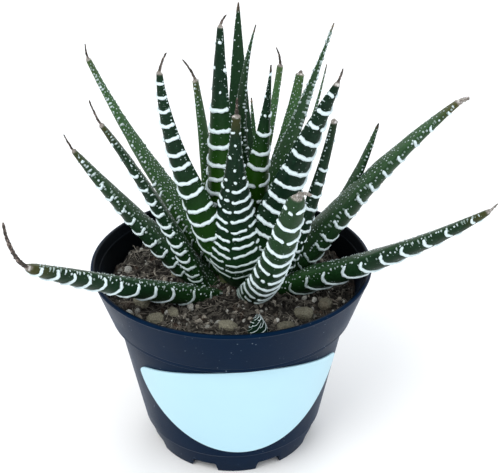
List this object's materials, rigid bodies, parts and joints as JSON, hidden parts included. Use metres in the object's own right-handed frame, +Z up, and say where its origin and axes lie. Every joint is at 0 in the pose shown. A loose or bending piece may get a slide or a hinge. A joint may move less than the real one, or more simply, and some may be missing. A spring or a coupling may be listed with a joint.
{
  "type": "potted succulent plant",
  "caption": "Potted haworthia: a rosette of stiff, pointed, white-banded leaves with a small offset, rooted in gritty soil in a round tapered nursery pot with a blank label.",
  "frame": {"origin": "centre of the pot's foot, on the surface it stands on", "axes": "+Z up along the pot's axis, +X to the right and +Y to the back as seen from the side that carries the label"},
  "size_m": [0.1512, 0.1136, 0.1657],
  "materials": {
    "pot": "satin moulded plastic, navy black",
    "label": "smooth coated paper, pale cyan white",
    "soil": "rough fibrous and gritty potting mix, brown",
    "crown": "dull plant tissue, olive green",
    "leaf": "satin leaf skin, dark green with raised pearly white bands and dots, dried brown tips",
    "stone": "rough small stones, beige and grey"
  },
  "bodies": {
    "root": {"pot": "pot", "label": "label", "soil": "soil", "crown": "crown", "leaf_front_young": "leaf", "leaf_front_short": "leaf", "leaf_right_banded": "leaf", "leaf_centre_tall": "leaf", "leaf_left_upright": "leaf", "leaf_left_low": "leaf", "leaf_right_low": "leaf", "leaf_left_slim": "leaf", "leaf_right_stub": "leaf", "leaf_left_mid": "leaf", "leaf_left_tall": "leaf", "leaf_right_long": "leaf", "leaf_back_left": "leaf", "leaf_back_slim": "leaf", "leaf_centre_right": "leaf", "leaf_right_slim": "leaf", "leaf_back_tall": "leaf", "leaf_right_pointed": "leaf", "leaf_back_short": "leaf", "leaf_back_stub": "leaf", "leaf_right_back": "leaf", "leaf_rear_left": "leaf", "leaf_rear_middle": "leaf", "leaf_rear_right": "leaf", "offset": "leaf", "stone_left_edge": "stone", "stone_left": "stone", "stone_left_inner": "stone", "stone_left_back": "stone", "stone_front": "stone", "stone_front_right": "stone", "stone_right": "stone", "stone_right_edge": "stone", "stone_back": "stone"}
  },
  "joints": []
}
